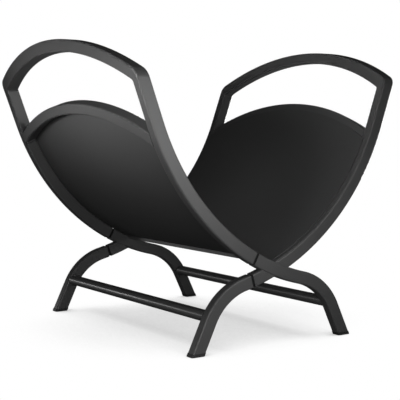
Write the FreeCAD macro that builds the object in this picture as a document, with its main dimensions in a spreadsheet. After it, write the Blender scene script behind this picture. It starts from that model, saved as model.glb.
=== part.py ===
import FreeCAD, Part
import os
import Sketcher

# Log holder: two mirrored side frames of rectangular steel tube that lean outwards and cross low
# down, flush, at the front and at the back. X runs across, Y along the logs, Z up; the origin is on
# the floor under the middle, left is -X and front is -Y.

# Driving sizes, in millimetres and degrees
sizes = {
    # Tube of the arms, handles, rails and legs: width in the plane of its bend, depth along Y
    "frame_depth": 440,
    "tube_width": 20,
    "tube_depth": 15,
    "tube_wall": 1.5,
    "tube_round": 2.5,
    # Line of one strand, from the foot through the crossing to the straight of the arm
    "leg_slope": 64.4,
    "leg_straight": 52,
    "leg_bend_radius": 90,
    "waist_slope": 13.7,
    "cross_slope": 22.74,
    "arm_radius": 364,
    "arm_slope": 70,
    "arm_straight": 52,
    # Arched handle, measured in the leaning plane of the side frame; its top lies level across X
    "handle_leg": 24,
    "handle_rise": 57,
    "handle_face": 19.5,
    "handle_outer_round": 17,
    "handle_inner_round": 5,
    # Lower arched rail between the arms
    "rail_drop": 10.5,
    "rail_rise": 47,
    "rail_face": 17,
    # Rolled sheet panel laid on the inside of the arms and rail
    "panel_sheet": 1.2,
    "panel_lap": 5,
    "panel_flange": 5,
    "panel_play": 0.3,
    # Plug-in joints left of the crossing
    "arm_seam_run": 40,
    "leg_seam_run": 13.9,
    "seam_gap": 4.5,
    "spigot_play": 0.2,
    "arm_spigot_reach": 26,
    "stub_spigot_reach": 15,
    "leg_spigot_bend": 14,
    # How far the coped ends reach into the tube that they meet, as shares of its wall
    "arm_lip_share": 0.8,
    "stub_lip_share": 0.2,
    # Countersunk screws of the plug-in joints, put in from below
    "screw_diameter": 4,
    "screw_length": 10,
    "screw_play": 0.5,
    "thread_play": 0.1,
    "screw_head_diameter": 8,
    "screw_head_rim": 0.3,
    "screw_socket": 2.5,
    "screw_socket_depth": 1.3,
    "arm_screw_inset": 14,
    "stub_screw_inset": 9,
    # Flat-oval tube stretchers between the front and back legs
    "stretcher_width": 20,
    "stretcher_thickness": 15,
    "stretcher_round": 6.5,
    "stretcher_height": 53,
    # Plastic foot caps
    "foot_height": 5,
    "foot_plug": 16,
    "foot_proud": 0.6,
    "foot_round": 1.2,
    # How far every cut runs past the piece that it opens
    "overrun": 4,
}

# How near an edge's middle lies to the place asked for, as a share of the edge's length, and how near
# the floor a foot cap's sole lies, as a share of the cap's height
touch_share = 0.001
sole_share = 0.1

# Places worked out from the driving sizes
layout = {
    "half_depth": "Sizes.frame_depth / 2",
    "half_width": "Sizes.tube_width / 2",
    "tube_y": "half_depth - Sizes.tube_depth / 2",
    "inner_y": "half_depth - Sizes.tube_depth",
    # Centre of the long arm curve and of the leg bend, and where the leg's middle line meets the floor
    "arm_x": "Sizes.arm_radius * sin(Sizes.cross_slope)",
    "arm_z": "bend_z + (Sizes.leg_bend_radius + Sizes.arm_radius) * cos(Sizes.waist_slope)",
    "bend_x": "arm_x - (Sizes.leg_bend_radius + Sizes.arm_radius) * sin(Sizes.waist_slope)",
    "bend_z": "Sizes.leg_straight * sin(Sizes.leg_slope)"
              " - Sizes.leg_bend_radius * cos(Sizes.leg_slope)",
    "foot_reach": "bend_x + Sizes.leg_straight * cos(Sizes.leg_slope)"
                  " + Sizes.leg_bend_radius * sin(Sizes.leg_slope)",
    # Where the arm runs straight, which is the origin of each leaning side frame
    "side_x": "Sizes.arm_radius * sin(Sizes.arm_slope) - arm_x",
    "side_z": "arm_z - Sizes.arm_radius * cos(Sizes.arm_slope)",
    # Radii of the tube's trough edge and outer edge on the arm curve
    "trough_radius": "Sizes.arm_radius - half_width",
    "outer_radius": "Sizes.arm_radius + half_width",
    # Slope of the strand at the two seams, and the slope that half a seam gap takes
    "arm_seam_slope": "Sizes.cross_slope + Sizes.arm_seam_run / Sizes.arm_radius * 180 / pi",
    "leg_seam_slope": "Sizes.waist_slope + Sizes.leg_seam_run / Sizes.arm_radius * 180 / pi",
    "half_gap_slope": "Sizes.seam_gap / 2 / Sizes.arm_radius * 180 / pi",
    "overrun_slope": "Sizes.overrun / Sizes.arm_radius * 180 / pi",
    # Handle arch
    "handle_corner": "Sizes.arm_straight + Sizes.handle_leg",
    "handle_radius": "(half_depth ^ 2 + Sizes.handle_rise ^ 2) / (2 * Sizes.handle_rise)",
    "handle_centre": "handle_corner + Sizes.handle_rise - handle_radius",
    # Rail arch
    "rail_radius": "(inner_y ^ 2 + Sizes.rail_rise ^ 2) / (2 * Sizes.rail_rise)",
    "rail_centre": "Sizes.rail_rise - Sizes.rail_drop - rail_radius",
    # Panel
    "panel_y": "inner_y + Sizes.panel_lap",
    "panel_radius": "rail_radius - Sizes.rail_face + Sizes.panel_lap",
    "panel_top": "rail_centre + panel_radius + Sizes.overrun",
    "sheet_radius": "trough_radius - Sizes.panel_sheet",
    "panel_half_play": "Sizes.panel_play / 2",
    # Stretcher
    "stretcher_x": "foot_reach - Sizes.stretcher_height / tan(Sizes.leg_slope)",
    # Screws, and the holes that they go in
    "shank_radius": "Sizes.screw_diameter / 2",
    "head_radius": "Sizes.screw_head_diameter / 2",
    "head_depth": "Sizes.screw_head_rim + head_radius - shank_radius",
    "socket_radius": "Sizes.screw_socket / sqrt(3)",
    "thread_radius": "shank_radius + Sizes.thread_play / 2",
    "sink_radius": "head_radius + Sizes.screw_play / 2",
    "sink_depth": "Sizes.screw_head_rim + sink_radius - thread_radius",
    "hole_depth": "Sizes.screw_length + Sizes.overrun",
}

doc = FreeCAD.newDocument("log_holder")


def fill_sheet(name, cells, prefix):
    sheet = doc.addObject("Spreadsheet::Sheet", name)
    for row, (alias, content) in enumerate(cells.items(), start=1):
        sheet.set("A%d" % row, alias)
        sheet.set("B%d" % row, prefix + str(content))
        sheet.setAlias("B%d" % row, alias)
    doc.recompute()
    return sheet


sheet = fill_sheet("Sizes", sizes, "")
fill_sheet("Layout", layout, "=")


def number(expression):
    return float(sheet.evalExpression(expression))


def less(size, inset):
    return "(%s - (%s))" % (size, inset)


def more(size, extra):
    return "(%s + (%s))" % (size, extra)


# Outlines: a list of corners, each with the edge that leads to the next corner. A corner is a pair of
# expressions; an edge is None for a straight one, or the arc's centre and radius.

def arm_point(radius, slope):
    x = "Layout.arm_x - %s * sin(%s)" % (radius, slope)
    z = "Layout.arm_z - %s * cos(%s)" % (radius, slope)
    return (x, z)


def bend_point(radius, slope):
    x = "Layout.bend_x + %s * sin(%s)" % (radius, slope)
    z = "Layout.bend_z + %s * cos(%s)" % (radius, slope)
    return (x, z)


def leg_point(side, half, height):
    x = "Layout.foot_reach - %s / tan(Sizes.leg_slope)" % height
    offset = " + (%s) * %s / sin(Sizes.leg_slope)" % (side, half)
    return (x + offset, height)


def top_point(radius, distance):
    x, z = arm_point(radius, "Sizes.arm_slope")
    return (x + " - %s * cos(Sizes.arm_slope)" % distance, z + " + %s * sin(Sizes.arm_slope)" % distance)


arm_centre = ("Layout.arm_x", "Layout.arm_z")
bend_centre = ("Layout.bend_x", "Layout.bend_z")


def strand_edge(side, half, start, stop):
    """One long edge of a tube on the strand, on the trough side (1) or the outer side (-1)"""
    arm_radius = "(Sizes.arm_radius - (%s) * %s)" % (side, half)
    bend_radius = "(Sizes.leg_bend_radius + (%s) * %s)" % (side, half)
    on_arm = (arm_centre, arm_radius)
    edge = []
    if start[0] == "top":
        level = "(%s - (%s) * %s / tan(Sizes.arm_slope))" % (start[1], side, half)
        edge.append((top_point(arm_radius, level), None))
        edge.append((arm_point(arm_radius, "Sizes.arm_slope"), on_arm))
    else:
        edge.append((arm_point(arm_radius, start[side]), on_arm))
    if stop[0] == "arm":
        edge.append((arm_point(arm_radius, stop[side]), None))
        return edge
    edge.append((arm_point(arm_radius, "Sizes.waist_slope"), (bend_centre, bend_radius)))
    if stop[0] == "bend":
        edge.append((bend_point(bend_radius, stop[1]), None))
        return edge
    edge.append((bend_point(bend_radius, "Sizes.leg_slope"), None))
    edge.append((leg_point(side, half, stop[1]), None))
    return edge


def strand_outline(inset, start, stop, start_cut=None, stop_cut=None):
    """Closed outline of a tube on the strand, inset from its faces, between two stations"""
    half = less("Layout.half_width", inset)
    trough = strand_edge(1, half, start, stop)
    outer = strand_edge(-1, half, start, stop)
    last = trough[-1][0]
    outline = trough[:-1] + [(last, stop_cut)]
    for corner, before in zip(reversed(outer), list(reversed(outer))[1:]):
        outline.append((corner[0], before[1]))
    outline.append((outer[0][0], start_cut))
    ends = (len(trough) - 1, len(outline) - 1)
    return outline, ends


def top_station(distance):
    return ("top", distance)


def arm_station(slope, outer_slope=None):
    return ("arm", slope, outer_slope or slope)


def straight_edges(outline):
    """Numbers of the edges that aren't arcs"""
    return [index for index, (corner, edge) in enumerate(outline) if edge is None]


def level_edges(outline):
    """Numbers of the straight edges whose two corners are at one height"""
    following = outline[1:] + outline[:1]
    return [index for index in straight_edges(outline) if outline[index][0][1] == following[index][0][1]]


def mirror_outline(outline):
    def flip(point):
        return ("-(%s)" % point[0], point[1])

    return [(flip(corner), edge and (flip(edge[0]), edge[1])) for corner, edge in outline]


# Sketches and features

def vector(point):
    return FreeCAD.Vector(number(point[0]), number(point[1]), 0)


def middle(start, stop, edge):
    """Middle of a straight edge or of an arc of under half a circle"""
    between = (start + stop) / 2
    if edge is None:
        return between
    centre = vector(edge[0])
    ray = (between - centre).normalize()
    return centre + ray * number(edge[1])


def edge_middles(outline):
    points = [vector(corner) for corner, edge in outline]
    following = points[1:] + points[:1]
    return [middle(a, b, edge) for a, b, (corner, edge) in zip(points, following, outline)]


def draw(body, name, plane, outline):
    """A fully constrained sketch of an outline, every corner and radius bound to the sheets"""
    sketch = body.newObject("Sketcher::SketchObject", name)
    support = [feature for feature in body.Origin.OriginFeatures if feature.Role == plane]
    sketch.AttachmentSupport = (support[0], [""])
    sketch.MapMode = "FlatFace"
    points = [vector(corner) for corner, edge in outline]
    following = points[1:] + points[:1]
    starts = []
    for start, stop, mid, (corner, edge) in zip(points, following, edge_middles(outline), outline):
        shape = Part.LineSegment(start, stop) if edge is None else Part.Arc(start, mid, stop)
        index = sketch.addGeometry(shape, False)
        ends = [sketch.getPoint(index, end) for end in (1, 2)]
        forward = ends[0].distanceToPoint(start) < ends[1].distanceToPoint(start)
        starts.append(1 if forward else 2)
    for index, (corner, edge) in enumerate(outline):
        after = (index + 1) % len(outline)
        stop = 2 if starts[index] == 1 else 1
        sketch.addConstraint(Sketcher.Constraint("Coincident", index, stop, after, starts[after]))
        point = points[index]
        bind(sketch, Sketcher.Constraint("DistanceX", index, starts[index], point.x), corner[0])
        bind(sketch, Sketcher.Constraint("DistanceY", index, starts[index], point.y), corner[1])
        if edge:
            bind(sketch, Sketcher.Constraint("Radius", index, number(edge[1])), edge[1])
    doc.recompute()
    return sketch


def bind(sketch, constraint, expression):
    index = sketch.addConstraint(constraint)
    sketch.setExpression("Constraints[%d]" % index, expression)


def carry(feature, sketch, thickness, slant):
    """Carry a sketch over a thickness, half to each side of it, straight or along a slant"""
    feature.Profile = sketch
    feature.SideType = "Symmetric"
    feature.setExpression("Length", thickness)
    if slant:
        feature.UseCustomVector = True
        feature.AlongSketchNormal = True
        feature.setExpression("Direction.x", slant[0])
        feature.setExpression("Direction.y", slant[1])
        feature.setExpression("Direction.z", slant[2])
    doc.recompute()


def extrude(body, name, plane, outline, thickness, slant=None):
    """Pad an outline by a thickness"""
    sketch = draw(body, name + "_sketch", plane, outline)
    pad = body.newObject("PartDesign::Pad", name)
    carry(pad, sketch, thickness, slant)
    return pad, sketch


def hollow(body, name, plane, outline, thickness, slant=None):
    """Cut an outline out by a thickness"""
    sketch = draw(body, name + "_sketch", plane, outline)
    pocket = body.newObject("PartDesign::Pocket", name)
    carry(pocket, sketch, thickness, slant)
    return pocket


def round_long_edges(body, name, base, sketch, outline, ends, thickness, radius, slant=None):
    """Round the edges that the outline leaves on both faces, but not those of its cut ends"""
    normal = sketch.Placement.Rotation.multVec(FreeCAD.Vector(0, 0, 1))
    way = FreeCAD.Vector(*[number(part) for part in slant]) if slant else normal
    reach = way * (number(thickness) / 2 / way.dot(normal))
    wanted = []
    for index, mid in enumerate(edge_middles(outline)):
        if index not in ends:
            place = sketch.Placement.multVec(mid)
            wanted += [place + reach, place - reach]
    fillet_at(body, name, base, wanted, radius)


def fillet_at(body, name, base, places, radius):
    """Fillet the edges whose middles are at the given places"""
    picked = []
    for number_of_edge, edge in enumerate(base.Shape.Edges, start=1):
        mid = edge.valueAt((edge.FirstParameter + edge.LastParameter) / 2)
        if any(mid.isEqual(place, edge.Length * touch_share) for place in places):
            picked.append("Edge%d" % number_of_edge)
    fillet = body.newObject("PartDesign::Fillet", name)
    fillet.Base = (base, picked)
    fillet.setExpression("Radius", radius)
    doc.recompute()
    return fillet


def new_body(label):
    body = doc.addObject("PartDesign::Body", label)
    body.Label = label
    return body


def tube(label, outline, ends, cavity, mirrored, tube_y):
    """A hollow tube with rounded long edges, its outline in the XZ plane"""
    body = new_body(label)
    if mirrored:
        outline = mirror_outline(outline)
        cavity = mirror_outline(cavity)
    pad, sketch = extrude(body, label + "_tube", "XZ_Plane", outline, "Sizes.tube_depth")
    round_long_edges(body, label + "_rounding", pad, sketch, outline, ends, "Sizes.tube_depth",
                     "Sizes.tube_round")
    hollow(body, label + "_bore", "XZ_Plane", cavity, "Sizes.tube_depth - 2 * Sizes.tube_wall")
    body.setExpression("Placement.Base.y", tube_y)
    return body


def countersink(body, name, place, slope, mirrored):
    """A tapped hole with a countersink, in through the strand's under face, square to it"""

    def off(out, along):
        x = "%s - (%s) * sin(%s) - (%s) * cos(%s)" % (place[0], out, slope, along, slope)
        z = "%s - (%s) * cos(%s) + (%s) * sin(%s)" % (place[1], out, slope, along, slope)
        return (x, z)

    face = "Layout.half_width"
    beyond = more(face, "Sizes.overrun")
    bottom = less(face, "Layout.hole_depth")
    outline = [
        (off(bottom, "0"), None),
        (off(bottom, "Layout.thread_radius"), None),
        (off(less(face, "Layout.sink_depth"), "Layout.thread_radius"), None),
        (off(less(face, "Sizes.screw_head_rim"), "Layout.sink_radius"), None),
        (off(beyond, "Layout.sink_radius"), None),
        (off(beyond, "0"), None),
    ]
    sketch = draw(body, name + "_sketch", "XZ_Plane", mirror_outline(outline) if mirrored else outline)
    before = body.Shape.Volume
    groove = body.newObject("PartDesign::Groove", name)
    groove.Profile = sketch
    groove.ReferenceAxis = (sketch, ["Edge%d" % len(outline)])
    groove.Angle = 360
    doc.recompute()
    if not body.Shape.Volume < before:
        raise RuntimeError(name + " cuts nothing")


# Stations on the strand where its pieces begin and end

arm_end = arm_station("Layout.arm_seam_slope + Layout.half_gap_slope")
crossing_end = arm_station("Layout.arm_seam_slope - Layout.half_gap_slope")
stub_end = arm_station("Layout.leg_seam_slope + Layout.half_gap_slope")
leg_end = arm_station("Layout.leg_seam_slope - Layout.half_gap_slope")
weld_end = top_station("Sizes.arm_straight")
floor_end = ("foot", "Sizes.foot_height")


def past(station, sign):
    """The station, moved along the arm curve by the overrun, up (1) or down (-1)"""
    return arm_station("%s + (%s) * Layout.overrun_slope" % (station[1], sign))


past_weld = top_station(more("Sizes.arm_straight", "Sizes.overrun"))
past_floor = ("foot", less("Sizes.foot_height", "Sizes.overrun"))

# The other strand, as the mirrored strand meets it at the crossing: a tube that is coped on it ends
# on a circle about the other arm centre, a little way inside the other tube's wall

other_centre = ("-Layout.arm_x", "Layout.arm_z")


def cope_slope(own_radius, other_radius):
    """Slope of the own arc where it crosses the other strand's arc"""
    reach = "(%s ^ 2 - %s ^ 2) / (4 * Layout.arm_x)" % (other_radius, own_radius)
    return "asin((Layout.arm_x - %s) / %s)" % (reach, own_radius)


def cope_station(half, other_radius):
    trough = "(Sizes.arm_radius - %s)" % half
    outer = "(Sizes.arm_radius + %s)" % half
    return arm_station(cope_slope(trough, other_radius), cope_slope(outer, other_radius))


arm_cope_radius = "(Layout.trough_radius + Sizes.arm_lip_share * Sizes.tube_wall)"
stub_cope_radius = "(Layout.outer_radius - Sizes.stub_lip_share * Sizes.tube_wall)"
past_arm_cope = "(Layout.trough_radius + Sizes.overrun)"
past_stub_cope = "(Layout.outer_radius - Sizes.overrun)"

bore_half = less("Layout.half_width", "Sizes.tube_wall")
pieces = []

# Front and back crossings

left_arm = strand_outline("0", weld_end, arm_end)
left_arm_bore = strand_outline("Sizes.tube_wall", past_weld, past(arm_end, -1))
right_leg = strand_outline("0", crossing_end, floor_end)
right_leg_bore = strand_outline("Sizes.tube_wall", past(crossing_end, 1), past_floor)
left_leg = strand_outline("0", leg_end, floor_end)
left_leg_bore = strand_outline("Sizes.tube_wall", past(leg_end, 1), past_floor)
right_arm = strand_outline("0", weld_end, cope_station("Layout.half_width", arm_cope_radius),
                           stop_cut=(other_centre, arm_cope_radius))
right_arm_bore = strand_outline("Sizes.tube_wall", past_weld, cope_station(bore_half, past_arm_cope),
                                stop_cut=(other_centre, past_arm_cope))
stub = strand_outline("0", cope_station("Layout.half_width", stub_cope_radius), stub_end,
                      start_cut=(other_centre, stub_cope_radius))
stub_bore = strand_outline("Sizes.tube_wall", cope_station(bore_half, past_stub_cope), past(stub_end, -1),
                           start_cut=(other_centre, past_stub_cope))


def coped(label, blank, other):
    """A tube end cut to the outside of the tube that it is welded on"""
    cut = doc.addObject("Part::Cut", label)
    cut.Label = label
    cut.Base = blank
    cut.Tool = other
    return cut


spigot_inset = more("Sizes.tube_wall", "Sizes.spigot_play")
spigot_depth = "Sizes.tube_depth - 2 * (Sizes.tube_wall + Sizes.spigot_play)"


def spigot(label, outline, mirrored, tube_y, place, slope):
    """A solid plug that fits the tube's bore on both sides of a seam, tapped for its screw"""
    body = new_body(label)
    extrude(body, label + "_plug", "XZ_Plane", mirror_outline(outline) if mirrored else outline, spigot_depth)
    countersink(body, label + "_thread", place, slope, mirrored)
    body.setExpression("Placement.Base.y", tube_y)
    return body


def slope_of(length):
    return "%s / Sizes.arm_radius * 180 / pi" % length


def seam_spigot(up, down):
    return strand_outline(spigot_inset, up, down)[0]


arm_spigot = seam_spigot(arm_station("Layout.arm_seam_slope + " + slope_of("Sizes.arm_spigot_reach")),
                         arm_station("Layout.arm_seam_slope - " + slope_of("Sizes.arm_spigot_reach")))
bend_reach = "Sizes.waist_slope + Sizes.leg_spigot_bend / Sizes.leg_bend_radius * 180 / pi"
leg_spigot = seam_spigot(arm_station("Layout.leg_seam_slope + " + slope_of("Sizes.stub_spigot_reach")),
                         ("bend", bend_reach))


def strand_screw(seam_slope, inset):
    """A screw's place on the strand's middle line, above a seam, and the strand's slope there"""
    slope = "(%s + %s)" % (seam_slope, slope_of(inset))
    return arm_point("Sizes.arm_radius", slope), slope


arm_screw = strand_screw("Layout.arm_seam_slope", "Sizes.arm_screw_inset")
stub_screw = strand_screw("Layout.leg_seam_slope", "Sizes.stub_screw_inset")


def screw(label, slope, mirrored, tube_y):
    """A countersunk screw with a hexagon socket, its head flush with the tube's under face"""
    body = new_body(label)
    profile = [
        (("0", "0"), None),
        (("Layout.head_radius", "0"), None),
        (("Layout.head_radius", "Sizes.screw_head_rim"), None),
        (("Layout.shank_radius", "Layout.head_depth"), None),
        (("Layout.shank_radius", "Sizes.screw_length"), None),
        (("0", "Sizes.screw_length"), None),
    ]
    sketch = draw(body, label + "_profile", "XZ_Plane", profile)
    turned = body.newObject("PartDesign::Revolution", label + "_turned")
    turned.Profile = sketch
    turned.ReferenceAxis = (sketch, ["V_Axis"])
    turned.Angle = 360
    doc.recompute()
    corner_count = 6
    hexagon = []
    for corner in range(corner_count):
        turn = "%d * 360 / %d" % (corner, corner_count)
        place_on_ring = ("Layout.socket_radius * cos(%s)" % turn, "Layout.socket_radius * sin(%s)" % turn)
        hexagon.append((place_on_ring, None))
    socket = body.newObject("PartDesign::Pocket", label + "_socket")
    socket.Profile = draw(body, label + "_socket_sketch", "XY_Plane", hexagon)
    socket.Reversed = True
    socket.setExpression("Length", "Sizes.screw_socket_depth")
    doc.recompute()
    side = -1 if mirrored else 1
    head = arm_point("Layout.outer_radius", slope)
    body.Placement.Rotation = FreeCAD.Rotation(FreeCAD.Vector(0, side, 0), number(slope))
    body.setExpression("Placement.Rotation.Angle", slope)
    body.setExpression("Placement.Base.x", "(%d) * (%s)" % (side, head[0]))
    body.setExpression("Placement.Base.y", tube_y)
    body.setExpression("Placement.Base.z", head[1])
    return body


def foot(label, mirrored, tube_y):
    """A cap that carries on the leg's line to the floor, with a plug in the tube's bore"""
    body = new_body(label)

    def slanted(half, low, high):
        corners = [leg_point(1, half, low), leg_point(1, half, high), leg_point(-1, half, high),
                   leg_point(-1, half, low)]
        outline = [(corner, None) for corner in corners]
        return mirror_outline(outline) if mirrored else outline

    cap_half = more("Layout.half_width", "Sizes.foot_proud")
    cap_depth = "Sizes.tube_depth + 2 * Sizes.foot_proud"
    outline = slanted(cap_half, "0", "Sizes.foot_height")
    cap, sketch = extrude(body, label + "_cap", "XZ_Plane", outline, cap_depth)
    round_long_edges(body, label + "_corners", cap, sketch, outline, level_edges(outline), cap_depth,
                     "Sizes.tube_round + Sizes.foot_proud")
    rounded = body.Tip
    near_floor = number("Sizes.foot_height") * sole_share
    soles = [face for face in rounded.Shape.Faces if abs(face.CenterOfMass.z) < near_floor]
    places = [edge.valueAt((edge.FirstParameter + edge.LastParameter) / 2) for edge in soles[0].Edges]
    fillet_at(body, label + "_sole", rounded, places, "Sizes.foot_round")
    plug_half = less("Layout.half_width", spigot_inset)
    plug_top = more("Sizes.foot_height", "Sizes.foot_plug")
    plug_low = less("Sizes.foot_height", "Sizes.foot_round")
    extrude(body, label + "_plug", "XZ_Plane", slanted(plug_half, plug_low, plug_top), spigot_depth)
    body.setExpression("Placement.Base.y", tube_y)
    return body


screws = []
for end, toward in (("front", -1), ("back", 1)):
    tube_y = "(%d) * Layout.tube_y" % toward

    body = tube("left_%s_arm" % end, *left_arm, left_arm_bore[0], False, tube_y)
    countersink(body, "left_%s_arm_hole" % end, *arm_screw, False)
    pieces.append(body)

    crossing = tube("right_%s_leg" % end, *right_leg, right_leg_bore[0], False, tube_y)
    pieces.append(crossing)

    blank = tube("right_%s_arm_blank" % end, *right_arm, right_arm_bore[0], True, tube_y)
    pieces.append(coped("right_%s_arm" % end, blank, crossing))

    blank = tube("%s_cross_stub_blank" % end, *stub, stub_bore[0], True, tube_y)
    countersink(blank, "%s_cross_stub_hole" % end, *stub_screw, True)
    pieces.append(coped("%s_cross_stub" % end, blank, crossing))

    pieces.append(tube("left_%s_leg" % end, *left_leg, left_leg_bore[0], True, tube_y))
    pieces.append(spigot("left_%s_arm_spigot" % end, arm_spigot, False, tube_y, *arm_screw))
    pieces.append(spigot("left_%s_leg_spigot" % end, leg_spigot, True, tube_y, *stub_screw))
    pieces.append(foot("right_%s_foot" % end, False, tube_y))
    pieces.append(foot("left_%s_foot" % end, True, tube_y))
    screws.append(screw("%s_arm_screw" % end, arm_screw[1], False, tube_y))
    screws.append(screw("%s_stub_screw" % end, stub_screw[1], True, tube_y))

group = doc.addObject("Part::Compound", "joint_screws")
group.Label = "joint_screws"
group.Links = screws
pieces.append(group)

# Leaning side frames: outlines in each side's own YZ plane, which passes through the middle of the
# arm's straight, with Z along the arm and the floor's middle plane in Y


def lean(body, side):
    body.Placement.Rotation = FreeCAD.Rotation(FreeCAD.Vector(0, side, 0), 90 - number("Sizes.arm_slope"))
    body.setExpression("Placement.Rotation.Angle", "90 - Sizes.arm_slope")
    body.setExpression("Placement.Base.x", "(%d) * Layout.side_x" % side)
    body.setExpression("Placement.Base.z", "Layout.side_z")


def arch_corner(sign, half, radius, rounding):
    """Tangent arc between an upright at half and the handle's arch: its two ends, centre and radius"""
    across = less(half, rounding)
    reach = "sqrt((%s - %s) ^ 2 - %s ^ 2)" % (radius, rounding, across)
    stretch = "%s / (%s - %s)" % (radius, radius, rounding)
    centre = ("(%d) * %s" % (sign, across), "Layout.handle_centre + " + reach)
    on_upright = ("(%d) * %s" % (sign, half), centre[1])
    arch_y = "(%d) * %s * %s" % (sign, across, stretch)
    arch_z = "Layout.handle_centre + %s * %s" % (reach, stretch)
    return on_upright, (arch_y, arch_z), (centre, rounding)


def handle_outline(inset, low):
    arch = ("0", "Layout.handle_centre")
    half = less("Layout.half_depth", inset)
    radius = less("Layout.handle_radius", inset)
    rounding = less("Sizes.handle_outer_round", inset)
    inner_half = more("Layout.inner_y", inset)
    inner_radius = more("(Layout.handle_radius - Sizes.handle_face)", inset)
    inner_rounding = more("Sizes.handle_inner_round", inset)
    left = arch_corner(-1, half, radius, rounding)
    right = arch_corner(1, half, radius, rounding)
    inner_left = arch_corner(-1, inner_half, inner_radius, inner_rounding)
    inner_right = arch_corner(1, inner_half, inner_radius, inner_rounding)
    outline = [
        (("-" + half, low), None),
        (left[0], left[2]),
        (left[1], (arch, radius)),
        (right[1], right[2]),
        (right[0], None),
        ((half, low), None),
        ((inner_half, low), None),
        (inner_right[0], inner_right[2]),
        (inner_right[1], (arch, inner_radius)),
        (inner_left[1], inner_left[2]),
        (inner_left[0], None),
        (("-" + inner_half, low), None),
    ]
    return outline


def arch_band(half, centre, radius, inner_radius):
    """A band between two arches about one centre, cut off upright at both ends"""
    middle_of_arch = ("0", centre)
    high = "%s + sqrt(%s ^ 2 - %s ^ 2)" % (centre, radius, half)
    low = "%s + sqrt(%s ^ 2 - %s ^ 2)" % (centre, inner_radius, half)
    return [
        (("-" + half, high), (middle_of_arch, radius)),
        ((half, high), None),
        ((half, low), (middle_of_arch, inner_radius)),
        (("-" + half, low), None),
    ]


def oval_outline(inset):
    """Section of a stretcher with its rounded corners, inset from its faces"""
    half = less("Sizes.stretcher_width / 2", inset)
    high = less("Sizes.stretcher_thickness / 2", inset)
    radius = less("Sizes.stretcher_round", inset)
    outline = []
    for across, up in ((1, 1), (-1, 1), (-1, -1), (1, -1)):
        on_side = ("(%d) * %s" % (across, half), "(%d) * %s" % (up, less(high, radius)))
        on_flat = ("(%d) * %s" % (across, less(half, radius)), "(%d) * %s" % (up, high))
        centre = (on_flat[0], on_side[1])
        first, second = (on_side, on_flat) if across == up else (on_flat, on_side)
        outline += [(first, (centre, radius)), (second, None)]
    return outline


def side_tube(label, side, outline, ends, cavity, slant=None):
    body = new_body(label)
    pad, sketch = extrude(body, label + "_tube", "YZ_Plane", outline, "Sizes.tube_width", slant)
    round_long_edges(body, label + "_rounding", pad, sketch, outline, ends, "Sizes.tube_width",
                     "Sizes.tube_round", slant)
    hollow(body, label + "_bore", "YZ_Plane", cavity, "Sizes.tube_width - 2 * Sizes.tube_wall", slant)
    lean(body, side)
    return body


def panel(label, side):
    """Sheet rolled to the arms' trough edge, arched under the rail, with a lip turned down at the middle"""
    body = new_body(label)
    inward = -side

    def rolled(radius, slope):
        """Point of the arm curve, in the leaning frame"""
        turned = "(Sizes.arm_slope - %s)" % slope
        return ("Sizes.arm_radius - %s * cos(%s)" % (radius, turned), "-%s * sin(%s)" % (radius, turned))

    def slope_at(radius, away):
        """Slope of the arm curve at a distance from the middle of the holder"""
        return "asin((Layout.arm_x + %s) / %s) / 1 deg" % (away, radius)

    def shifted(point, down, away):
        """Point moved straight down and straight away from the middle, in the leaning frame"""
        x = "%s - %s * cos(Sizes.arm_slope) - %s * sin(Sizes.arm_slope)" % (point[0], down, away)
        z = "%s - %s * sin(Sizes.arm_slope) + %s * cos(Sizes.arm_slope)" % (point[1], down, away)
        return (x, z)

    def facing(outline):
        return outline if inward > 0 else mirror_outline(outline)

    curve = ("Sizes.arm_radius", "0")
    outside = "Layout.trough_radius"
    inside = "Layout.sheet_radius"
    play = "Layout.panel_half_play"
    face = "Layout.half_width"
    inner_face = "(Layout.half_width + Sizes.panel_sheet)"
    inside_end = rolled(inside, slope_at(inside, play))
    sheet_outline = facing([
        ((face, "Layout.panel_top"), None),
        ((face, "0"), (curve, outside)),
        (rolled(outside, slope_at(outside, play)), None),
        (inside_end, (curve, inside)),
        ((inner_face, "0"), None),
        ((inner_face, "Layout.panel_top"), None),
    ])
    extrude(body, label + "_sheet", "XZ_Plane", sheet_outline, "2 * Layout.panel_y")

    lip = "(Sizes.panel_flange + Sizes.panel_sheet)"
    lip_foot = shifted(inside_end, lip, "0")
    lip_outline = facing([
        (inside_end, None),
        (lip_foot, None),
        (shifted(inside_end, lip, "Sizes.panel_sheet"), None),
        (rolled(outside, slope_at(outside, "(%s + Sizes.panel_sheet)" % play)), None),
    ])
    extrude(body, label + "_lip", "XZ_Plane", lip_outline, "2 * (Layout.inner_y - Sizes.panel_play)")

    beyond = "(Layout.panel_y + Sizes.overrun)"
    ceiling = "(Layout.panel_top + Sizes.overrun)"
    shoulder = "Layout.rail_centre + sqrt(Layout.panel_radius ^ 2 - %s ^ 2)" % beyond
    above_arch = [
        (("-" + beyond, shoulder), (("0", "Layout.rail_centre"), "Layout.panel_radius")),
        ((beyond, shoulder), None),
        ((beyond, ceiling), None),
        (("-" + beyond, ceiling), None),
    ]
    hollow(body, label + "_arch", "YZ_Plane", above_arch, "2 * Sizes.arm_radius")
    lean(body, side)
    return body


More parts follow.
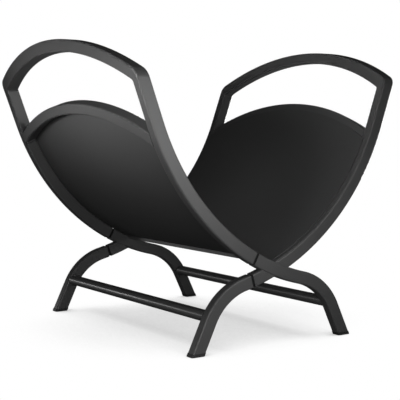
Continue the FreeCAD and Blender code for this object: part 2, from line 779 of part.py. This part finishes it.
for name, side in (("left", -1), ("right", 1)):
    handle_bore = handle_outline("Sizes.tube_wall", less("Sizes.arm_straight", "Sizes.overrun"))
    level = ("sin(Sizes.arm_slope)", "0", "(%d) * cos(Sizes.arm_slope)" % side)
    handle = handle_outline("0", "Sizes.arm_straight")
    pieces.append(side_tube(name + "_handle", side, handle, level_edges(handle), handle_bore, level))

    rail_inner = "(Layout.rail_radius - Sizes.rail_face)"
    rail_outline = arch_band("Layout.inner_y", "Layout.rail_centre", "Layout.rail_radius", rail_inner)
    rail_bore = arch_band("(Layout.inner_y + Sizes.overrun)", "Layout.rail_centre",
                          less("Layout.rail_radius", "Sizes.tube_wall"), more(rail_inner, "Sizes.tube_wall"))
    pieces.append(side_tube(name + "_rail", side, rail_outline, straight_edges(rail_outline), rail_bore))

    pieces.append(panel(name + "_panel", side))

    bar = new_body(name + "_stretcher")
    extrude(bar, name + "_oval", "XZ_Plane", oval_outline("0"), "2 * Layout.inner_y")
    hollow(bar, name + "_oval_bore", "XZ_Plane", oval_outline("Sizes.tube_wall"),
           "2 * (Layout.inner_y + Sizes.overrun)")
    bar.setExpression("Placement.Base.x", "(%d) * Layout.stretcher_x" % side)
    bar.setExpression("Placement.Base.z", "Sizes.stretcher_height")
    pieces.append(bar)

# Check everything, then write one file for each piece

doc.recompute()
for thing in doc.Objects:
    if "Invalid" in thing.State or "Error" in thing.State:
        raise RuntimeError("%s is %s" % (thing.Label, thing.State))
for piece in pieces:
    if piece.Shape.isNull() or not piece.Shape.isValid():
        raise RuntimeError(piece.Label + " has no valid shape")

os.makedirs("parts", exist_ok=True)
for piece in pieces:
    piece.Shape.exportStep("parts/%s.step" % piece.Label)
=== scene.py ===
import math

import bpy
import numpy as np
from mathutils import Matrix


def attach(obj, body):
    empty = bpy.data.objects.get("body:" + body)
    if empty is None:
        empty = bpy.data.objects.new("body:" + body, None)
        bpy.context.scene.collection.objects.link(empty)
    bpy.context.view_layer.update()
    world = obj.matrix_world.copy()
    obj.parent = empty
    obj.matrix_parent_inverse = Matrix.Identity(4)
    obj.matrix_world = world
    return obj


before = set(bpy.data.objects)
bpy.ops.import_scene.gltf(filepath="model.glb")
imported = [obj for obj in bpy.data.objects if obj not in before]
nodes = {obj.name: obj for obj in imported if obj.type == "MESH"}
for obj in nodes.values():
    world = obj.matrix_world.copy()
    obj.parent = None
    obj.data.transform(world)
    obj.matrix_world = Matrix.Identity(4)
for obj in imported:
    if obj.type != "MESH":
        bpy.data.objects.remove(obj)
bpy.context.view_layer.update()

print("log holder: loaded", len(nodes), "nodes")


# Node helpers for the finishes

def newMaterial(name):
    mat = bpy.data.materials.new(name)
    mat.use_nodes = True
    mat.node_tree.nodes.clear()
    return mat, mat.node_tree


def addNode(tree, kind, **settings):
    node = tree.nodes.new(kind)
    for key, value in settings.items():
        if key in node.inputs:
            node.inputs[key].default_value = value
        else:
            setattr(node, key, value)
    return node


# Octaves and roughness of each noise, the range a noise mostly keeps to, and the shares that mix the colour
grain = {"drift": (3.0, 0.55), "speck": (2.0, 0.5), "peel": (4.0, 0.5), "keepsTo": (0.3, 0.7),
         "driftShare": 0.7, "speckShare": 0.3}


def noiseAt(tree, coords, kind, scale):
    detail, rough = grain[kind]
    node = addNode(tree, "ShaderNodeTexNoise", Scale=scale, Detail=detail, Roughness=rough)
    tree.links.new(coords.outputs["Object"], node.inputs["Vector"])
    return node


def ramp(tree, source, low, high):
    # Spreads a noise, which stays near its middle, over the range from low to high
    node = addNode(tree, "ShaderNodeMapRange")
    node.inputs["From Min"].default_value, node.inputs["From Max"].default_value = grain["keepsTo"]
    node.inputs["To Min"].default_value = low
    node.inputs["To Max"].default_value = high
    tree.links.new(source, node.inputs["Value"])
    return node.outputs["Result"]


def coatedFinish(name, look):
    # A thin coat over metal or plastic: fine pebbled bump, slow drifts of colour and of gloss
    mat, tree = newMaterial(name)
    coords = addNode(tree, "ShaderNodeTexCoord")
    out = addNode(tree, "ShaderNodeOutputMaterial")
    skin = addNode(tree, "ShaderNodeBsdfPrincipled")
    skin.inputs["Metallic"].default_value = look["metal"]
    skin.inputs["Specular IOR Level"].default_value = look["shine"]
    tree.links.new(skin.outputs["BSDF"], out.inputs["Surface"])

    drift = noiseAt(tree, coords, "drift", look["driftScale"])
    speck = noiseAt(tree, coords, "speck", look["speckScale"])
    blend = addNode(tree, "ShaderNodeMix", data_type="RGBA")
    blend.inputs["A"].default_value = (*look["dark"], 1.0)
    blend.inputs["B"].default_value = (*look["light"], 1.0)
    mixed = addNode(tree, "ShaderNodeMath", operation="ADD", use_clamp=True)
    tree.links.new(ramp(tree, drift.outputs["Fac"], 0.0, grain["driftShare"]), mixed.inputs[0])
    tree.links.new(ramp(tree, speck.outputs["Fac"], 0.0, grain["speckShare"]), mixed.inputs[1])
    tree.links.new(mixed.outputs["Value"], blend.inputs["Factor"])
    tree.links.new(blend.outputs["Result"], skin.inputs["Base Color"])

    tree.links.new(ramp(tree, drift.outputs["Fac"], *look["rough"]), skin.inputs["Roughness"])

    peel = noiseAt(tree, coords, "peel", look["peelScale"])
    bump = addNode(tree, "ShaderNodeBump", Strength=look["peel"], Distance=look["peelDepth"])
    tree.links.new(peel.outputs["Fac"], bump.inputs["Height"])
    tree.links.new(bump.outputs["Normal"], skin.inputs["Normal"])
    return mat


tubeCoat = {"metal": 0.0, "shine": 0.25, "dark": (0.046, 0.046, 0.046), "light": (0.054, 0.054, 0.054),
            "driftScale": 9.0, "speckScale": 900.0, "rough": (0.32, 0.39),
            "peelScale": 1400.0, "peel": 0.04, "peelDepth": 0.0002}
# The panel is the same powder coat as the tubes, but its colour is set about 15% darker. That is painted
# shade for the panel, which sits recessed behind the rail and the arms.
panelCoatPaintedShade = {"metal": 0.0, "shine": 0.25, "dark": (0.040, 0.040, 0.040), "light": (0.046, 0.046, 0.046),
             "driftScale": 5.0, "speckScale": 900.0, "rough": (0.44, 0.52),
             "peelScale": 1200.0, "peel": 0.04, "peelDepth": 0.0002}
footPlastic = {"metal": 0.0, "shine": 0.35, "dark": (0.009, 0.009, 0.009), "light": (0.014, 0.014, 0.014),
               "driftScale": 40.0, "speckScale": 1500.0, "rough": (0.55, 0.68),
               "peelScale": 2500.0, "peel": 0.35, "peelDepth": 0.0002}
screwBlack = {"metal": 0.6, "shine": 0.5, "dark": (0.020, 0.020, 0.021), "light": (0.034, 0.034, 0.036),
              "driftScale": 60.0, "speckScale": 2000.0, "rough": (0.34, 0.46),
              "peelScale": 3000.0, "peel": 0.15, "peelDepth": 0.0001}
# The spigots show only at the bottom of the seam gaps. Their colour is set near black, darker than the
# coat, as painted shade in the gaps.
plugPaintedShadeBlack = {"metal": 0.0, "shine": 0.15, "dark": (0.003, 0.003, 0.003), "light": (0.005, 0.005, 0.005),
             "driftScale": 30.0, "speckScale": 1200.0, "rough": (0.5, 0.6),
             "peelScale": 1500.0, "peel": 0.2, "peelDepth": 0.0002}

finishes = {
    "tube": coatedFinish("tube_powder_coat", tubeCoat),
    "panel": coatedFinish("panel_powder_coat_painted_shade", panelCoatPaintedShade),
    "foot": coatedFinish("foot_cap_plastic", footPlastic),
    "screw": coatedFinish("screw_blackened", screwBlack),
    "plug": coatedFinish("spigot_painted_shade", plugPaintedShadeBlack),
}


def finishFor(name):
    for ending, finish in (("panel", "panel"), ("foot", "foot"), ("screws", "screw"), ("spigot", "plug")):
        if name.endswith(ending):
            return finishes[finish]
    return finishes["tube"]


for name, node in nodes.items():
    node.data.materials.clear()
    node.data.materials.append(finishFor(name))
print("log holder: finishes on", len(nodes), "nodes")


# Fillet welds: a bead carried along a straight run in the corner between two tubes

weld = {"radius": 0.0024, "ripple": 0.10, "pitch": 0.0022, "taper": 0.0022, "around": 20, "step": 0.00028,
        "fewest": 8, "blunt": 0.02, "inset": 0.0072, "railLean": math.radians(70), "endTouch": 1e-5,
        "edgeTouch": 1e-4}


def meshGrid(name, points):
    # Grid of points (along, around, xyz), closed around and with a flat face on each end
    rows, cols = points.shape[:2]
    idx = np.arange(rows * cols).reshape(rows, cols)
    nxt = np.roll(idx, -1, axis=1)
    quads = np.stack([idx[:-1], nxt[:-1], nxt[1:], idx[1:]], axis=-1).reshape(-1, 4)
    caps = [idx[0, ::-1].tolist(), idx[-1].tolist()]
    mesh = bpy.data.meshes.new(name)
    mesh.from_pydata(points.reshape(-1, 3).tolist(), [], quads.tolist() + caps)
    mesh.validate()
    mesh.update()
    mesh.polygons.foreach_set("use_smooth", np.ones(len(mesh.polygons), bool))
    return mesh


def weldRun(start, stop, sideA, sideB):
    # Ring of radius r about the corner line, r swelling by a rectified sine once a pitch and
    # rounding off over the taper to a small blunt tip at each end
    start, stop = np.asarray(start, float), np.asarray(stop, float)
    length = np.linalg.norm(stop - start)
    along = np.linspace(0.0, length, max(int(length / weld["step"]), weld["fewest"]))
    swell = 1.0 + weld["ripple"] * (np.abs(np.sin(math.pi * along / weld["pitch"])) - 0.5)
    edge = np.minimum(along, length - along) / weld["taper"]
    closing = np.sqrt(np.clip(1.0 - (1.0 - np.clip(edge, weld["blunt"], 1.0)) ** 2, 0.0, 1.0))
    radius = weld["radius"] * swell * closing
    turn = np.linspace(0.0, 2.0 * math.pi, weld["around"], endpoint=False)
    axis = (stop - start) / length
    line = start + along[:, None] * axis
    ring = np.cos(turn)[:, None] * np.asarray(sideA) + np.sin(turn)[:, None] * np.asarray(sideB)
    if np.dot(np.cross(sideA, sideB), axis) < 0:
        ring = ring[::-1]
    return line[:, None, :] + radius[:, None, None] * ring[None]


def corners(name):
    flat = np.empty(len(nodes[name].data.vertices) * 3, np.float32)
    nodes[name].data.vertices.foreach_get("co", flat)
    return flat.reshape(-1, 3).astype(float)


def endOf(points, sign):
    # Corners of the flat end that a stretcher or rail turns towards the front (-1) or the back (1)
    reach = (points[:, 1] * sign).max()
    return points[points[:, 1] * sign > reach - weld["endTouch"]]


def addWeld(name, grid):
    obj = bpy.data.objects.new(name, meshGrid(name, grid))
    bpy.context.scene.collection.objects.link(obj)
    obj.data.materials.append(finishes["tube"])
    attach(obj, "root")


welds = 0
for side in ("left", "right"):
    for end, sign in (("front", -1), ("back", 1)):
        inwards = np.array([0.0, -sign, 0.0])

        # Stretcher: one bead over and one under it, along X
        tip = endOf(corners(side + "_stretcher"), sign)
        low, high = tip.min(axis=0), tip.max(axis=0)
        middle = (low + high) / 2
        for label, height, up in (("top", high[2], 1.0), ("under", low[2], -1.0)):
            first = np.array([low[0] + weld["inset"], middle[1], height])
            last = np.array([high[0] - weld["inset"], middle[1], height])
            addWeld("%s_%s_stretcher_weld_%s" % (side, end, label),
                    weldRun(first, last, np.array([0.0, 0.0, up]), inwards))
            welds += 1

        # Rail: one bead over and one under it, along its slanted edges
        tip = endOf(corners(side + "_rail"), sign)
        for label, pick in (("top", np.argmax), ("under", np.argmin)):
            outwards = 1 if side == "right" else -1
            lean = np.array([math.cos(weld["railLean"]) * outwards, 0.0, math.sin(weld["railLean"])])
            height = tip @ lean
            level = height[pick(height)]
            edge = tip[np.abs(height - level) < weld["edgeTouch"]]
            across = np.cross(lean, [0.0, 1.0, 0.0])
            reach = edge @ across
            first, last = edge[np.argmin(reach)], edge[np.argmax(reach)]
            up = lean * (1.0 if label == "top" else -1.0)
            addWeld("%s_%s_rail_weld_%s" % (side, end, label), weldRun(first, last, up, inwards))
            welds += 1
print("log holder:", welds, "weld beads")


# Floor, light and camera

floorLook = {"reach": 3.0, "bounce": 0.01, "mirrored": 0.02, "shadowReach": 0.45, "shadowTone": 0.60,
             "openFrom": 0.34, "openTo": 0.64, "skySamples": 16}


def seenRays(tree):
    # How white a ray finds the surroundings: fully when straight or through glass, less when mirrored
    path = addNode(tree, "ShaderNodeLightPath")
    most = path.outputs["Is Camera Ray"]
    for kind, share in (("Is Transmission Ray", 1.0), ("Is Glossy Ray", floorLook["mirrored"])):
        part = addNode(tree, "ShaderNodeMath", operation="MULTIPLY")
        part.inputs[1].default_value = share
        tree.links.new(path.outputs[kind], part.inputs[0])
        larger = addNode(tree, "ShaderNodeMath", operation="MAXIMUM")
        tree.links.new(most, larger.inputs[0])
        tree.links.new(part.outputs["Value"], larger.inputs[1])
        most = larger.outputs["Value"]
    return most


def floorFinish():
    # White floor, grey where the holder shuts off most of the sky above it
    mat, tree = newMaterial("pale_floor")
    out = addNode(tree, "ShaderNodeOutputMaterial")
    sky = addNode(tree, "ShaderNodeAmbientOcclusion", samples=floorLook["skySamples"],
                  Distance=floorLook["shadowReach"])
    shade = addNode(tree, "ShaderNodeMapRange")
    shade.inputs["From Min"].default_value = floorLook["openFrom"]
    shade.inputs["From Max"].default_value = floorLook["openTo"]
    shade.inputs["To Min"].default_value = floorLook["shadowTone"]
    shade.inputs["To Max"].default_value = 1.0
    tree.links.new(sky.outputs["AO"], shade.inputs["Value"])
    white = addNode(tree, "ShaderNodeEmission", Color=(1.0, 1.0, 1.0, 1.0))
    tree.links.new(shade.outputs["Result"], white.inputs["Strength"])

    # To soft light it is dim, so that it throws little up at the undersides
    dim = addNode(tree, "ShaderNodeBsdfDiffuse", Color=(floorLook["bounce"],) * 3 + (1.0,))
    pick = addNode(tree, "ShaderNodeMixShader")
    tree.links.new(seenRays(tree), pick.inputs["Fac"])
    tree.links.new(dim.outputs["BSDF"], pick.inputs[1])
    tree.links.new(white.outputs["Emission"], pick.inputs[2])
    tree.links.new(pick.outputs["Shader"], out.inputs["Surface"])
    return mat


reach = floorLook["reach"]
floorMesh = bpy.data.meshes.new("floor")
floorCorners = [(-reach, -reach, 0), (reach, -reach, 0), (reach, reach, 0), (-reach, reach, 0)]
floorMesh.from_pydata(floorCorners, [], [(0, 1, 2, 3)])
floor = bpy.data.objects.new("floor", floorMesh)
bpy.context.scene.collection.objects.link(floor)
floor.data.materials.append(floorFinish())

worldLook = {"ambient": 0.02}
world = bpy.data.worlds.new("studio")
bpy.context.scene.world = world
world.use_nodes = True
tree = world.node_tree
tree.nodes.clear()
worldOut = addNode(tree, "ShaderNodeOutputWorld")
ambient = addNode(tree, "ShaderNodeBackground", Color=(1.0, 1.0, 1.0, 1.0), Strength=worldLook["ambient"])
backdrop = addNode(tree, "ShaderNodeBackground", Color=(1.0, 1.0, 1.0, 1.0), Strength=1.0)
choose = addNode(tree, "ShaderNodeMixShader")
tree.links.new(seenRays(tree), choose.inputs["Fac"])
tree.links.new(ambient.outputs["Background"], choose.inputs[1])
tree.links.new(backdrop.outputs["Background"], choose.inputs[2])
tree.links.new(choose.outputs["Shader"], worldOut.inputs["Surface"])

# Studio light: a gridded lamp from the front right that feathers off to the right, a gridded strip along
# the left side for the rail and the upper panel, a weak fill from the left corner, a low rim lamp at the
# back left and an upright one on the left that draw the edges, two from overhead for the tops and the
# trough, and two for the far side. The back lamp stays out of reflections, where it would burn out the
# handles' undersides.
lamps = {
    "front": {"at": (0.35, -1.10, 0.35), "aim": (-0.25, -0.22, 0.14), "wide": 0.40, "high": 0.40,
              "spread": 64.0, "watts": 0.76},
    "side": {"at": (-0.52, -0.43, 0.33), "aim": (-0.23, -0.395, 0.371), "wide": 1.10, "high": 0.10,
             "spread": 58.0, "watts": 1.26},
    "fill": {"at": (-0.42, -0.80, 0.20), "aim": (-0.12, -0.20, 0.18), "wide": 0.40, "high": 0.40,
             "spread": 120.0, "watts": 1.65},
    "rim": {"at": (-0.75, 1.05, 0.10), "aim": (-0.09, -0.02, -0.25), "wide": 0.30, "high": 0.08,
            "spread": 60.0, "watts": 0.4},
    "edge": {"at": (-0.80, -0.40, 0.32), "aim": (-0.15, 0.0, 0.20), "wide": 0.15, "high": 0.60,
             "spread": 180.0, "watts": 0.8},
    "top": {"at": (0.0, 0.0, 2.2), "aim": (0.0, 0.0, 0.0), "wide": 1.6, "high": 1.6, "spread": 180.0,
            "watts": 1.8},
    "trough": {"at": (0.0, 0.0, 0.75), "aim": (0.0, 0.0, 0.1), "wide": 0.15, "high": 0.40, "spread": 60.0,
               "watts": 0.12},
    "back": {"at": (0.30, 1.10, 0.05), "aim": (0.10, 0.22, 0.25), "wide": 0.60, "high": 0.06,
             "spread": 100.0, "watts": 1.6, "mirrored": False},
    "far_side": {"at": (0.52, 0.43, 0.33), "aim": (0.23, 0.395, 0.371), "wide": 1.10, "high": 0.10,
                 "spread": 58.0, "watts": 1.26},
}


def aimAt(obj, target):
    way = np.asarray(target) - np.asarray(obj.location)
    flat = math.hypot(way[0], way[1])
    obj.rotation_euler = (math.atan2(flat, -way[2]), 0.0, math.atan2(-way[0], way[1]))


for name, lamp in lamps.items():
    data = bpy.data.lights.new(name, "AREA")
    data.shape = "RECTANGLE"
    data.size, data.size_y = lamp["wide"], lamp["high"]
    data.spread = math.radians(lamp["spread"])
    data.energy = lamp["watts"]
    obj = bpy.data.objects.new(name + "_lamp", data)
    obj.location = lamp["at"]
    aimAt(obj, lamp["aim"])
    obj.visible_camera = False
    obj.visible_glossy = lamp.get("mirrored", True)
    bpy.context.scene.collection.objects.link(obj)

view = {"at": (-0.9036, -1.3480, 0.3189), "pitch": 85.87, "turn": -34.30, "lens": 89.28, "sensor": 36.0}
cameraData = bpy.data.cameras.new("photo_view")
cameraData.lens = view["lens"]
cameraData.sensor_width = view["sensor"]
cameraData.sensor_fit = "HORIZONTAL"
camera = bpy.data.objects.new("photo_view", cameraData)
camera.location = view["at"]
camera.rotation_euler = (math.radians(view["pitch"]), 0.0, math.radians(view["turn"]))
bpy.context.scene.collection.objects.link(camera)
bpy.context.scene.camera = camera
bpy.context.scene.view_settings.view_transform = "Standard"
print("log holder: floor, lamps and camera")
